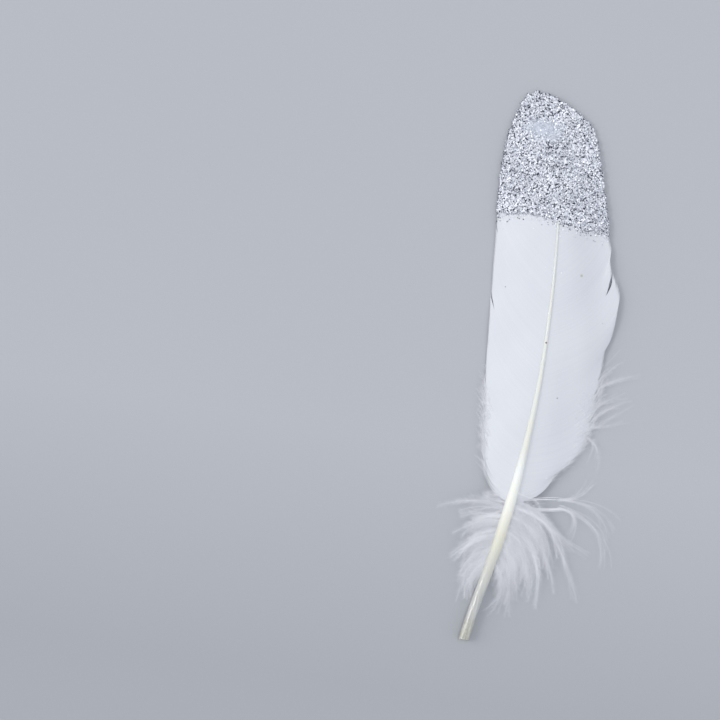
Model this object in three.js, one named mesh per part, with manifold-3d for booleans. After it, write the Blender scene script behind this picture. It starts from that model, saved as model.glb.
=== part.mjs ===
// A white goose wing feather whose tip was dipped in glue and silver glitter. It lies on its underside, its
// quill towards -Y and its glittered tip towards +Y, with the wide vane on the +X side. Sizes are in
// millimetres, and plan points are measured from the cut end of the quill.
import * as THREE from "three";
import { mergeVertices } from "three/addons/utils/BufferGeometryUtils.js";
import Module from "manifold-3d";

const wasm = await Module();
wasm.setup();

// Shaft: the round bare quill runs into the rachis, which carries the vanes and thins towards the tip
const SHAFT_END = 164;
const SHAFT_SIDES = 12;
const SHAFT_RINGS = [1.2, 11, 21, 30, 40, 50, 60, 71, 82, 94, 106, 118, 130, 142, 153, SHAFT_END];
// Its sideways place, its radius and the height of its underside, each at distances from the quill's end
const SHAFT_X = [
  [0, 0], [10, 1.5], [20, 3.4], [31, 5.3], [54, 7.8], [80, 9], [104, 8.4], [120, 7.3], [140, 5.2],
  [SHAFT_END, 1.1],
];
const SHAFT_RADIUS = [
  [0, 1.6], [18, 1.62], [40, 1.68], [50, 1.36], [60, 1.06], [78, 0.74], [100, 0.52], [130, 0.4],
  [SHAFT_END, 0.22],
];
const SHAFT_LIFT = [
  [0, 0], [21, 0], [45, 1.7], [70, 4.3], [95, 5.4], [120, 4.8], [145, 2.8], [SHAFT_END, 0.9],
];
const CUT_SLANT = 0.35; // the end of the quill is a little askew
const QUILL_DIMPLE = 0.7; // depth of the shallow hollow in that end

// Vanes: firm barbs leave the shaft from here on, and close up into a sheet with an outer margin
const VANE_FROM = 43.5;
const VANE_COLUMNS = 5;
const VANE_HALF_THICKNESS = 0.2;
const OVERLAP = 0.3; // the vanes run this far into the shaft and across each other at the tip
const CAMBER = 1.7; // how roundly a vane falls from the shaft to its margin
const MARGIN = {
  right: [
    [19.3, 57.5], [20.6, 61.6], [25.6, 65.2], [27.2, 73], [26.8, 84], [27.4, 93.7], [28.8, 98],
    [29, 107], [28.6, 111], [25.7, 116], [24.2, 120], [23.9, 124], [22.4, 128], [18.1, 142.5],
    [14.6, 153], [12.6, 157.6], [9.3, 160.5], [4, 163.7], [-0.4, 165.3],
  ],
  left: [
    [-3.2, 57], [-5.4, 68], [-7.4, 84], [-9.6, 106], [-11.6, 128], [-12.4, 144], [-11.9, 153],
    [-10.4, 160], [-8.9, 163.8], [-6.4, 166.1], [-2.2, 166], [1.1, 165],
  ],
};
// Height of each vane's middle layer at its margin: on the surface, but for a curl on the right
const MARGIN_HEIGHT = {
  right: [[57, 0.15], [88, 0.15], [111, 1.5], [121, 1.2], [130, 0.8], [166, 0.8]],
  left: [[57, 0.15], [116, 0.15], [130, 0.8], [166, 0.8]],
};
const SIDE_SIGN = { right: 1, left: -1 };

// Locks: a vane's barbs cling together in flat bundles, with small notches between them at the margin
const LOCKS = 26;
const LOCK_RELIEF = 0.12;
const NOTCH = 0.03; // depth of such a notch, as a share of a barb
// Deeper splits: lock number and depth as a share of a barb
const SPLITS = {
  right: new Map([[5, 0.2], [8, 0.1], [13, 0.22]]),
  left: new Map([[3, 0.14], [9, 0.28], [13, 0.1]]),
};

// Down: soft loose locks at the foot of each vane, from the first to the last as they leave the shaft
const DOWN = {
  right: { locks: 14, roots: [43, 25], angles: [-8, -74], reach: [32, 18], leave: [4, -30] },
  left: { locks: 11, roots: [43, 23], angles: [-2, -72], reach: [19, 15], leave: [14, -24] },
};
const DOWN_WIDTH = 2.8;
const DOWN_THICKNESS = 0.8;

// Loose strands, each by its root, bend and tip, with a width: two stout ones below the right vane and
// their frayed ends, and the barbs that came away from that vane's margin
const STRANDS = [
  { root: [7.4, 43.6], bend: [15, 46], tip: [23, 46.8], width: 1.1 },
  { root: [21.5, 46.7], bend: [27, 46.5], tip: [30.4, 53], width: 0.9 },
  { root: [21.5, 46.5], bend: [34, 48], tip: [38, 38.6], width: 1.2 },
  { root: [7, 43], bend: [15, 44.4], tip: [23, 44], width: 1.3 },
  { root: [21.8, 44.2], bend: [35, 42.5], tip: [38, 29.6], width: 1.2 },
  { root: [25, 66.5], bend: [31, 65.4], tip: [29.6, 59], width: 1.1 },
  { root: [25.8, 69], bend: [29.5, 70], tip: [35.8, 74.4], width: 1.3 },
  { root: [26, 74.5], bend: [28.5, 77.5], tip: [34.6, 80.8], width: 1.2 },
  { root: [26, 78], bend: [29, 84.5], tip: [38.8, 87], width: 1.3 },
  { root: [26, 82], bend: [27.6, 87.5], tip: [31.2, 90.4], width: 1.2 },
];
const STRAND_THICKNESS = 0.4;
const BLADE_STEPS = 4;

// Glitter: a rough coat on both faces of the tip, clear of the barbs inside it
const GAP = 0.2;
const COAT = 0.4;
const COAT_ROUGHNESS = 0.14;
const COAT_FROM_LOCK = 12;
const GLITTER_EDGE = [
  [-18, 129.6], [-9, 128.6], [-3, 129.9], [4, 129.2], [8, 128.5], [12, 128.4], [14.5, 127.3],
  [19, 128.2], [26, 127.5],
];
const COAT_ZONE_TOP = 172;
const COAT_ZONE_BELOW = 2;
const COAT_ZONE_HEIGHT = 14;

// Small helpers
const { lerp, clamp, degToRad } = THREE.MathUtils;
const smooth = (t) => clamp(t, 0, 1) ** 2 * (3 - 2 * clamp(t, 0, 1));
const noise = (n) => {
  const wave = Math.sin(n * 127.1 + 11.7) * 43758.5453;
  return 2 * (wave - Math.floor(wave)) - 1;
};

// A smooth value at a distance along the feather, from stations of [distance, value]
function along(stations, distance) {
  const last = stations.length - 1;
  const at = clamp(distance, stations[0][0], stations[last][0]);
  const i = clamp(stations.findLastIndex(([y]) => y <= at), 0, last - 1);
  const slope = (k) => {
    const [ya, va] = stations[Math.max(0, k - 1)];
    const [yb, vb] = stations[Math.min(last, k + 1)];
    return (vb - va) / (yb - ya);
  };
  const [[y0, v0], [y1, v1]] = [stations[i], stations[i + 1]];
  const run = y1 - y0;
  const t = (at - y0) / run;
  const bend = (1 - t) ** 2 * t * run * slope(i) - (1 - t) * t ** 2 * run * slope(i + 1);
  return lerp(v0, v1, smooth(t)) + bend;
}

// The shaft's centre line
function shaftPoint(y) {
  const height = along(SHAFT_RADIUS, y) + Math.max(0, along(SHAFT_LIFT, y));
  return new THREE.Vector3(along(SHAFT_X, y), y, height);
}

// A closed geometry from points and faces, with its faces turned outwards
function closedGeometry(points, faces) {
  let volume = 0;
  for (let n = 0; n < faces.length; n += 3) {
    const [a, b, c] = faces.slice(n, n + 3).map((k) => points[k]);
    volume += a.dot(b.clone().cross(c));
  }
  if (volume < 0) faces.reverse();
  const geometry = new THREE.BufferGeometry().setFromPoints(points);
  geometry.setIndex(faces);
  return geometry;
}

// A thin closed sheet between a grid of top points and a grid of bottom points
function sheet(rows, columns, surface) {
  const across = columns + 1;
  const layer = (rows + 1) * across;
  const points = [];
  const faces = [];
  for (const face of [1, -1])
    for (let i = 0; i <= rows; i++)
      for (let j = 0; j <= columns; j++) points.push(surface(i, j, face));
  const quad = (a, b, c, d) => faces.push(a, b, c, a, c, d);
  for (let i = 0; i < rows; i++)
    for (let j = 0; j < columns; j++) {
      const a = i * across + j;
      quad(a, a + 1, a + across + 1, a + across);
      quad(a + layer, a + across + layer, a + across + 1 + layer, a + 1 + layer);
    }
  const rim = [];
  for (let j = 0; j < columns; j++) rim.push(j);
  for (let i = 0; i < rows; i++) rim.push(i * across + columns);
  for (let j = columns; j > 0; j--) rim.push(rows * across + j);
  for (let i = rows; i > 0; i--) rim.push(i * across);
  rim.forEach((a, k) => {
    const b = rim[(k + 1) % rim.length];
    quad(a, a + layer, b + layer, b);
  });
  return closedGeometry(points, faces);
}

// A closed solid skinned over rings of points, with both ends capped
function skin(rings) {
  const sides = rings[0].length;
  const faces = [];
  for (let i = 0; i + 1 < rings.length; i++)
    for (let j = 0; j < sides; j++) {
      const [a, b] = [i * sides + j, i * sides + ((j + 1) % sides)];
      faces.push(a, b, b + sides, a, b + sides, a + sides);
    }
  const last = (rings.length - 1) * sides;
  for (let j = 1; j + 1 < sides; j++) {
    faces.push(0, j + 1, j);
    faces.push(last, last + j, last + j + 1);
  }
  return closedGeometry(rings.flat(), faces);
}

// To a manifold-3d solid and back
function toSolid(geometry) {
  geometry.deleteAttribute("normal");
  geometry.deleteAttribute("uv");
  const merged = mergeVertices(geometry, 1e-4);
  return new wasm.Manifold(
    new wasm.Mesh({
      numProp: 3,
      vertProperties: merged.attributes.position.array,
      triVerts: new Uint32Array(merged.index.array),
    }),
  );
}
function fromSolid(solid) {
  const { vertProperties, triVerts } = solid.getMesh();
  const geometry = new THREE.BufferGeometry();
  geometry.setAttribute("position", new THREE.BufferAttribute(vertProperties, 3));
  geometry.setIndex(new THREE.BufferAttribute(triVerts, 1));
  return geometry;
}
const join = (solids) => solids.reduce((whole, solid) => whole.add(solid));

// Shaft, with a flat side along its underside for the quill to rest on
function shaft(extra = 0) {
  const ring = (y, radius, slant = 0) => {
    const centre = shaftPoint(y);
    return Array.from({ length: SHAFT_SIDES }, (_, k) => {
      const angle = -Math.PI / 2 + (2 * Math.PI * (k + 0.5)) / SHAFT_SIDES;
      const rise = (radius * Math.sin(angle)) / Math.cos(Math.PI / SHAFT_SIDES);
      const x = centre.x + radius * Math.cos(angle);
      return new THREE.Vector3(x, y + slant * Math.sin(angle), centre.z + rise);
    });
  };
  const end = along(SHAFT_RADIUS, 0);
  const rings = SHAFT_RINGS.map((y) => ring(y, along(SHAFT_RADIUS, y) + extra));
  return toSolid(
    skin([
      ring(QUILL_DIMPLE, 0.45 * end, CUT_SLANT),
      ring(0, 0.75 * end, CUT_SLANT),
      ring(0, 0.95 * end, CUT_SLANT),
      ...rings,
    ]),
  );
}

// One barb's path in plan: it leaves the shaft sideways and sweeps round towards the tip
const marginCurves = Object.fromEntries(
  Object.entries(MARGIN).map(([side, points]) => [
    side,
    new THREE.SplineCurve(points.map(([x, y]) => new THREE.Vector2(x, y))),
  ]),
);
function barbPath(side, root) {
  const share = clamp((root - VANE_FROM) / (SHAFT_END - VANE_FROM), 0, 1);
  const start = new THREE.Vector2(along(SHAFT_X, root) - SIDE_SIGN[side] * OVERLAP, root);
  const end = marginCurves[side].getPointAt(share);
  const foot = 1 - smooth(share / 0.25);
  const bend = new THREE.Vector2(
    lerp(start.x, end.x, lerp(0.76, 0.94, foot)),
    lerp(start.y, end.y, lerp(0.38, 0.16, foot)),
  );
  return new THREE.QuadraticBezierCurve(start, bend, end);
}

// Vane: an arched sheet of locks. grow pushes its margin out, and lumps roughen both faces
function vane(side, { half = VANE_HALF_THICKNESS, grow = 0, lumps = 0, fromLock = 0 } = {}) {
  const pitch = (SHAFT_END - VANE_FROM) / LOCKS;
  const rows = [];
  for (let lock = fromLock; lock <= LOCKS; lock++) {
    const root = VANE_FROM + lock * pitch;
    const split = SPLITS[side].get(lock);
    const between = lock > 0 && lock < LOCKS;
    const notch = between ? (split ?? NOTCH * (1 + 0.6 * noise(lock))) : 0;
    if (split) rows.push({ root: root - 0.12 * pitch, reach: 1, raised: 0.5 });
    rows.push({ root, reach: 1 - notch, raised: 0 });
    if (split) rows.push({ root: root + 0.12 * pitch, reach: 1, raised: 0.5 });
    if (lock < LOCKS) rows.push({ root: root + pitch / 2, reach: 1, raised: 1 });
  }
  const paths = rows.map(({ root }) => barbPath(side, root));
  const surface = (i, j, face) => {
    const { root, reach, raised } = rows[i];
    const v = (reach * j) / VANE_COLUMNS;
    const plan = paths[i].getPoint(v);
    if (j === VANE_COLUMNS) plan.addScaledVector(paths[i].getTangent(1), grow);
    const margin = along(MARGIN_HEIGHT[side], paths[i].v2.y);
    const relief = grow ? 0 : LOCK_RELIEF * raised * v * (1 - smooth((plan.y - 116) / 8));
    const rough = lumps * noise(i * 31 + j * 7 + face);
    const middle = lerp(shaftPoint(root).z, margin, v ** CAMBER) + relief;
    return new THREE.Vector3(plan.x, plan.y, Math.max(0, middle + face * half + rough));
  };
  return toSolid(sheet(rows.length - 1, VANE_COLUMNS, surface));
}

// A lock of down or a loose strand: a flat blade that tapers along a curve from its root to its tip
function blade(root, bend, tip, width, thickness, steps) {
  const curve = new THREE.QuadraticBezierCurve3(root, bend, tip);
  const rings = Array.from({ length: steps + 1 }, (_, n) => {
    const t = n / steps;
    const centre = curve.getPoint(t);
    const heading = curve.getTangent(t);
    const taper = lerp(1, 0.14, t ** 2);
    const half = new THREE.Vector3(-heading.y, heading.x, 0).setLength((taper * width) / 2);
    const rise = new THREE.Vector3(0, 0, (taper * thickness) / 2);
    return [
      centre.clone().add(half),
      centre.clone().add(rise),
      centre.clone().sub(half),
      centre.clone().sub(rise),
    ];
  });
  return toSolid(skin(rings));
}
function downLocks(side) {
  const { locks, roots, angles, reach, leave } = DOWN[side];
  return Array.from({ length: locks }, (_, k) => {
    const share = k / (locks - 1);
    const root = shaftPoint(lerp(...roots, share));
    const length = lerp(...reach, share) * (1 + 0.1 * noise(k + 3));
    const step = (degrees, distance, height) => {
      const angle = degToRad(degrees);
      const x = root.x + SIDE_SIGN[side] * distance * Math.cos(angle);
      return new THREE.Vector3(x, root.y + distance * Math.sin(angle), height);
    };
    const crest = root.z * (0.8 + 0.3 * noise(k + 9)) + 0.6;
    const bend = step(lerp(...leave, share), 0.5 * length, crest);
    const tip = step(lerp(...angles, share) + 3 * noise(k), length, 0.3);
    return blade(root, bend, tip, DOWN_WIDTH, DOWN_THICKNESS, BLADE_STEPS);
  });
}
function strands() {
  return STRANDS.map(({ root, bend, tip, width }) => {
    const fromShaft = root[0] < 10;
    const at = ([x, y], z) => new THREE.Vector3(x, y, z);
    const high = fromShaft ? shaftPoint(root[1]).z : 0.7;
    const low = fromShaft ? 0.7 : 0.25;
    return blade(at(root, high), at(bend, 1.1), at(tip, low), width, STRAND_THICKNESS, BLADE_STEPS);
  });
}

// Glitter coat: a thick skin round the tip of both vanes and the shaft, less the room that they take up
function glitterCoat() {
  const around = (clear, lumps, fromLock) => {
    const sheetOptions = { half: VANE_HALF_THICKNESS + clear, grow: clear, lumps, fromLock };
    return join([vane("left", sheetOptions), vane("right", sheetOptions), shaft(clear)]);
  };
  const zone = new THREE.Shape([
    ...GLITTER_EDGE.map(([x, y]) => new THREE.Vector2(x, y)),
    new THREE.Vector2(GLITTER_EDGE.at(-1)[0], COAT_ZONE_TOP),
    new THREE.Vector2(GLITTER_EDGE[0][0], COAT_ZONE_TOP),
  ]);
  const block = new THREE.ExtrudeGeometry(zone, { depth: COAT_ZONE_HEIGHT, bevelEnabled: false });
  const dipped = toSolid(block.translate(0, 0, -COAT_ZONE_BELOW));
  const outside = around(GAP + COAT, COAT_ROUGHNESS, COAT_FROM_LOCK);
  return outside.intersect(dipped).subtract(around(GAP, 0, COAT_FROM_LOCK - 1));
}

// Materials
const whiteBarbs = new THREE.MeshStandardMaterial({ color: 0xedeff3, roughness: 0.7 });
const silverGlitter = new THREE.MeshStandardMaterial({
  color: 0xc3c8d4,
  roughness: 0.3,
  metalness: 0.8,
});

// The feather, moved so that the middle of its footprint on the surface is the origin
const feather = new THREE.Group();
function piece(name, solid, material) {
  const mesh = new THREE.Mesh(fromSolid(solid), material);
  mesh.name = name;
  feather.add(mesh);
}
const grown = [
  shaft(),
  vane("left"),
  vane("right"),
  ...downLocks("left"),
  ...downLocks("right"),
  ...strands(),
];
piece("feather", join(grown), whiteBarbs);
piece("glitter_coat", glitterCoat(), silverGlitter);

const box = new THREE.Box3().setFromObject(feather);
const centre = box.getCenter(new THREE.Vector3());
feather.position.set(-centre.x, -centre.y, -box.min.z);

export default feather;
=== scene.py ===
# %% [markdown]
# # A white goose feather with a glittered tip
#
# A wing feather has a horny shaft, two vanes of flat barbs that cling together, and soft loose down at the
# foot of the vanes. The tip of this one was dipped in glue and then in silver glitter. The lesson models the
# shaft by hand, grows the barbs and the down as joined meshes, and scatters real flakes over the glue.

# %% Load the frame
import math

import bpy
import numpy as np
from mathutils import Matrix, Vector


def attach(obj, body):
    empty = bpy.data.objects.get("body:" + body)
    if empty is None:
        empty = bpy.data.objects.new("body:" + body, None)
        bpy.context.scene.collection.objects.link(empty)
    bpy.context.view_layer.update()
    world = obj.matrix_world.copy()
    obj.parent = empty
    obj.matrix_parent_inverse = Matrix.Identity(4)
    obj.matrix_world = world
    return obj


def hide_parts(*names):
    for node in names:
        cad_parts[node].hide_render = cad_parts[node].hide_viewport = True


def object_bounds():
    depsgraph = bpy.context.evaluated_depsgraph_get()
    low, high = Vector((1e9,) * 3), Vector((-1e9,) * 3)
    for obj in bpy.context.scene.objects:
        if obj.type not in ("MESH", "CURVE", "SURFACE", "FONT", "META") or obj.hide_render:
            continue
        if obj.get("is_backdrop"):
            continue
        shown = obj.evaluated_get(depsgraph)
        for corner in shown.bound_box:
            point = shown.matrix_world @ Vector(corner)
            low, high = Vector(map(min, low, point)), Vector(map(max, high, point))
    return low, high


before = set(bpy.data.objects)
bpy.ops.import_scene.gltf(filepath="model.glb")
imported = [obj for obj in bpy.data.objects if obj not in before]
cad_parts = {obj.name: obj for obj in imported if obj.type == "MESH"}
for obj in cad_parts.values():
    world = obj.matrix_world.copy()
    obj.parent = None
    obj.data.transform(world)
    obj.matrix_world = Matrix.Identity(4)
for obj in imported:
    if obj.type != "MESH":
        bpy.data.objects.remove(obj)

CAD_BOX = [list(corner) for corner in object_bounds()]
MM = 0.001
print("CAD box in mm:", [[round(v / MM, 1) for v in corner] for corner in CAD_BOX])

# %% [markdown]
# ## Where the quill ends
#
# Every plan point below is in millimetres from the cut end of the quill, as one would measure a real feather.
# The frame has its origin under the feather's middle, so the first step is to find the quill's end in it: the
# lowest stretch of the solid along Y. The lowest corner of its slanted cut is 15 degrees off the bottom.

# %% Find the quill's end
CUT_SLANT = 0.35
LOWEST_CORNER = math.radians(15)
END_SLICE = 0.9


def mesh_points(mesh):
    """A mesh's points in millimetres."""
    points = np.empty(len(mesh.vertices) * 3)
    mesh.vertices.foreach_get("co", points)
    return points.reshape(-1, 3) / MM


corners = mesh_points(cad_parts["feather"].data)
lowest = corners[:, 1].min()
end_slice = corners[corners[:, 1] < lowest + END_SLICE]
QUILL_END = np.array([
    (end_slice[:, 0].min() + end_slice[:, 0].max()) / 2,
    lowest + CUT_SLANT * math.cos(LOWEST_CORNER),
    0.0,
])
print("the quill ends at", QUILL_END.round(2), "mm")

# %% [markdown]
# ## Floor, camera and light
#
# The feather was photographed from straight above on pale blue-grey paper. The camera is rolled a little,
# because the feather leans to the right in the picture. A wide soft lamp on the left gives the shading, and
# a much narrower one above it draws the thin highlight on the quill. One overhead wakes up the glitter, and
# a weak one on the right lifts the shadows. All are suns, which light the whole floor alike, so that no dark
# far edge shows from a low angle.

# %% Floor, camera and light
PHOTO_SIZE = 720
MM_PER_PIXEL = 0.30
QUILL_END_PIXEL = (463.5, 641.0)
LEAN = math.radians(9.77)
LENS = 85.0
SENSOR = 36.0
FOCUS_HEIGHT = 3.0
FLOOR_SIZE = 40.0
WORLD_COLOUR = (0.86, 0.90, 1.0)
WORLD_STRENGTH = 0.56


def photo_to_plan(u, v):
    """A pixel of the photograph as a plan point in millimetres."""
    right = (u - QUILL_END_PIXEL[0]) * MM_PER_PIXEL
    up = (QUILL_END_PIXEL[1] - v) * MM_PER_PIXEL
    c, s = math.cos(LEAN), math.sin(LEAN)
    return right * c - up * s, right * s + up * c


def in_frame(points):
    """Millimetres from the quill's end, as metres in the frame."""
    return (np.asarray(points, float) + QUILL_END) * MM


def add_camera():
    x, y = photo_to_plan(PHOTO_SIZE / 2, PHOTO_SIZE / 2)
    distance = PHOTO_SIZE * MM_PER_PIXEL * LENS / SENSOR
    data = bpy.data.cameras.new("camera")
    data.lens, data.sensor_width = LENS, SENSOR
    camera = bpy.data.objects.new("camera", data)
    camera.location = in_frame((x, y, distance + FOCUS_HEIGHT))
    camera.rotation_euler = (0, 0, LEAN)
    bpy.context.collection.objects.link(camera)
    bpy.context.scene.camera = camera


def add_sun(name, place, width, strength, colour):
    """A sun that shines from a place towards the feather, with a face so many degrees wide."""
    data = bpy.data.lights.new(name, "SUN")
    data.angle, data.energy, data.color = math.radians(width), strength, colour
    lamp = bpy.data.objects.new(name, data)
    lamp.location = place
    direction = -lamp.location
    lamp.rotation_euler = direction.to_track_quat("-Z", "Y").to_euler()
    bpy.context.collection.objects.link(lamp)


def add_world():
    world = bpy.data.worlds.new("studio")
    world.use_nodes = True
    background = world.node_tree.nodes["Background"]
    background.inputs["Color"].default_value = (*WORLD_COLOUR, 1)
    background.inputs["Strength"].default_value = WORLD_STRENGTH
    bpy.context.scene.world = world


add_camera()
add_world()
add_sun("key", (-0.70, 0.07, 0.41), 46, 1.05, (1.0, 0.985, 0.965))
add_sun("gleam", (-0.70, 0.07, 0.60), 11, 0.32, (1.0, 0.99, 0.98))
add_sun("overhead", (0.10, 0.18, 1.05), 30, 0.86, (1.0, 1.0, 1.0))
add_sun("fill", (0.75, -0.10, 0.50), 60, 0.40, (0.97, 0.985, 1.0))
bpy.context.scene.view_settings.view_transform = "Standard"
bpy.ops.object.select_all(action="DESELECT")
bpy.ops.mesh.primitive_plane_add(size=FLOOR_SIZE)
floor = bpy.context.object
floor.name = "floor"
floor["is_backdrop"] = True

# %% [markdown]
# ## Shader maths as plain Python
#
# A finish is easier to read as a sum than as a web of nodes. The small class below wraps a socket, so that
# `1 - mask * 0.5` adds the Math nodes by itself. Every other node comes from `Finish.node`.

# %% Shader helpers


def maths(operation, swapped=False):
    """The method that Python calls for an operator: it adds a Math node."""
    def add_node(wire, other):
        values = (other, wire) if swapped else (wire, other)
        return wire.finish.node("ShaderNodeMath", {"operation": operation}, dict(enumerate(values)))
    return add_node


class Wire:
    """A socket whose sums, differences and products are Math nodes."""

    def __init__(self, finish, socket):
        self.finish, self.socket = finish, socket

    def clamped(self):
        return self.finish.node("ShaderNodeClamp", {}, {"Value": self})

    __add__ = __radd__ = maths("ADD")
    __mul__ = __rmul__ = maths("MULTIPLY")
    __sub__, __rsub__ = maths("SUBTRACT"), maths("SUBTRACT", swapped=True)
    __truediv__, power = maths("DIVIDE"), maths("POWER")


class Finish:
    """A material with one Principled shader, and the one way of adding nodes to it."""

    def __init__(self, name, **constants):
        self.material = bpy.data.materials.new(name)
        self.material.use_nodes = True
        self.tree = self.material.node_tree
        self.shader = self.tree.nodes["Principled BSDF"]
        for socket, value in constants.items():
            self.shader.inputs[socket.replace("_", " ")].default_value = value

    def node(self, kind, settings, inputs, output=0):
        node = self.tree.nodes.new(kind)
        for setting, value in settings.items():
            if setting == "stops":
                self.fill_ramp(node.color_ramp, value)
            else:
                setattr(node, setting, value)
        for socket, value in inputs.items():
            self.feed(node.inputs[socket], value)
        return Wire(self, node.outputs[output])

    def feed(self, socket, value):
        if isinstance(value, Wire):
            self.tree.links.new(value.socket, socket)
        else:
            socket.default_value = value

    @staticmethod
    def fill_ramp(ramp, stops):
        while len(ramp.elements) < len(stops):
            ramp.elements.new(0.5)
        for element, (position, colour) in zip(ramp.elements, stops):
            element.position, element.color = position, (*colour, 1)

    def drive(self, **links):
        for socket, value in links.items():
            self.feed(self.shader.inputs[socket.replace("_", " ")], value)

    def vector(self, operation, inputs, output=0):
        return self.node("ShaderNodeVectorMath", {"operation": operation}, inputs, output)

    def place(self, stretch=(1, 1, 1)):
        """Object coordinates in metres, stretched by a factor along each axis."""
        where = self.node("ShaderNodeTexCoord", {}, {}, "Object")
        return self.vector("MULTIPLY", {0: where, 1: stretch})

    def noise(self, where, scale, detail=2.0, roughness=0.5):
        inputs = {"Vector": where, "Scale": scale, "Detail": detail, "Roughness": roughness}
        return self.node("ShaderNodeTexNoise", {}, inputs, "Fac")

    def attribute(self, name):
        return self.node("ShaderNodeAttribute", {"attribute_name": name}, {}, "Fac")

    def ramp(self, factor, stops):
        return self.node("ShaderNodeValToRGB", {"stops": stops}, {"Fac": factor}, "Color")

    def blend(self, factor, first, second):
        settings = {"data_type": "RGBA", "blend_type": "MIX"}
        first, second = ((*c, 1) if isinstance(c, tuple) else c for c in (first, second))
        return self.node("ShaderNodeMix", settings, {0: factor, 6: first, 7: second}, 2)

    def along_feather(self):
        return self.node("ShaderNodeSeparateXYZ", {}, {0: self.place()}, "Y")

    def spot(self, place, radii, solid=2, fade=2):
        """1 in the middle of an oval, falling off with the share of its radii, all in millimetres."""
        stretch = (1 / radii[0], 1 / radii[1], 0)
        points = {0: self.place(stretch), 1: tuple(in_frame((*place, 0)) * stretch)}
        return (solid - self.vector("DISTANCE", points, "Value") * (fade / MM)).clamped()

    def bump(self, height, strength, distance):
        inputs = {"Height": height, "Strength": strength, "Distance": distance}
        return self.node("ShaderNodeBump", {}, inputs, "Normal")


# %% [markdown]
# ## The floor's finish
#
# The ground is smooth paper. Its colour darkens a little towards the quill's end and beyond it, which is
# painted
# shade: a falloff of light put into the paper's colour. A very faint, slow change of tone and a fine tooth
# keep it from looking flat, and it stays plain to let the feather stand out.

# %% Paper floor
PAPER = (0.458, 0.472, 0.500)
# The paper's colour in painted shade, where the light is made to fall off.
PAPER_IN_PAINTED_SHADE = (0.375, 0.390, 0.412)
PAINTED_SHADE_FROM = -0.027
PAINTED_SHADE_DEPTH = 0.075


def paper_finish():
    finish = Finish("pale_paper", Roughness=0.85, Specular_IOR_Level=0.2)
    # Painted shade: the paper's colour darkens from here towards the quill's end and beyond.
    fall = ((PAINTED_SHADE_FROM - finish.along_feather()) / PAINTED_SHADE_DEPTH).clamped()
    slow = finish.noise(finish.place(), 7.0) * 0.12
    tooth = finish.noise(finish.place(), 2600.0)
    finish.drive(
        Base_Color=finish.blend(fall * 0.9 + slow, PAPER, PAPER_IN_PAINTED_SHADE),
        Normal=finish.bump(tooth, 0.15, 0.0002),
    )
    return finish.material


floor.data.materials.append(paper_finish())

# %% [markdown]
# ## The feather's lines
#
# Three lines say where everything goes: the shaft's centre line, the margin of each vane, and the path of a
# barb from the one to the other. A shaft is widest and lies on the surface at the quill, then arches and
# thins towards the tip. The stations are real sizes, and a smooth curve runs through them.

# %% Shaft, margins and barb paths
SHAFT_END = 164.0
SHAFT_X = [
    (0, 0), (10, 1.5), (20, 3.4), (31, 5.3), (54, 7.8), (80, 9), (104, 8.4), (120, 7.3), (140, 5.2),
    (SHAFT_END, 1.1),
]
SHAFT_RADIUS = [
    (0, 1.6), (18, 1.62), (40, 1.68), (50, 1.36), (60, 1.06), (78, 0.74), (100, 0.52), (130, 0.4),
    (SHAFT_END, 0.22),
]
SHAFT_LIFT = [(0, 0), (21, 0), (45, 1.7), (70, 4.3), (95, 5.4), (120, 4.8), (145, 2.8), (SHAFT_END, 0.9)]
VANE_FROM = 43.5
BARB_SWEEP = 0.1
BEND_OUT, BEND_OUT_AT_FOOT = 0.76, 0.94
BEND_UP, BEND_UP_AT_FOOT = 0.38, 0.16
FOOT_LENGTH = 30.125
CAMBER = 1.7
RIPPLE_SPAN = 48
WIDTH_ROOM, PAST_MARGIN = 1.03, 1.05
MARGIN = {
    "right": [
        (19.3, 57.5), (20.6, 61.6), (25.6, 65.2), (27.8, 73), (27.6, 84), (27.5, 93.7), (28.8, 98),
        (29, 107), (28.6, 111), (25.7, 116), (24.2, 120), (23.9, 124), (22.4, 128), (18.1, 142.5),
        (14.6, 153), (12.6, 157.6), (9.3, 160.5), (4, 163.7), (-0.4, 165.3),
    ],
    "left": [
        (-3.2, 57), (-5.4, 68), (-7.4, 84), (-9.6, 106), (-11.6, 128), (-12.4, 144), (-11.9, 153),
        (-10.4, 160), (-8.9, 163.8), (-6.4, 166.1), (-2.2, 166), (1.1, 165),
    ],
}
MARGIN_HEIGHT = {
    "right": [(57, 0.4), (88, 0.55), (111, 1.5), (121, 1.2), (130, 0.8), (166, 0.8)],
    "left": [(57, 0.15), (116, 0.15), (130, 0.8), (166, 0.8)],
}
SIDE_SIGN = {"right": 1, "left": -1}
HOOK = {"right": 0.32, "left": 0.0}
HOOK_ROOT, HOOK_SPAN = 95.0, 15.0


def smooth(t):
    t = np.clip(t, 0, 1)
    return t * t * (3 - 2 * t)


def mix(a, b, t):
    return a + (b - a) * t


def between(start, end, leave, arrive, t):
    """A smooth run from one value to the next, with its slopes at both ends."""
    return mix(start, end, smooth(t)) + (1 - t) ** 2 * t * leave - (1 - t) * t**2 * arrive


def bent(start, bend, end, t):
    """Points of a curve that leaves start towards bend and reaches end."""
    return (1 - t) ** 2 * start + 2 * (1 - t) * t * bend + t**2 * end


def along(stations, distance):
    """A smooth value at distances along the feather, from stations of (distance, value)."""
    ys, values = np.array(stations, float).T
    at = np.clip(distance, ys[0], ys[-1])
    i = np.clip(np.searchsorted(ys, at, side="right") - 1, 0, len(ys) - 2)
    order = np.arange(len(ys))
    before, after = np.maximum(order - 1, 0), np.minimum(order + 1, len(ys) - 1)
    slopes = (values[after] - values[before]) / (ys[after] - ys[before])
    run = ys[i + 1] - ys[i]
    return between(values[i], values[i + 1], run * slopes[i], run * slopes[i + 1], (at - ys[i]) / run)


def shaft_centre(y):
    y = np.asarray(y, float)
    height = along(SHAFT_RADIUS, y) + np.maximum(0, along(SHAFT_LIFT, y))
    return np.stack([along(SHAFT_X, y), y, height], axis=-1)


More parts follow.
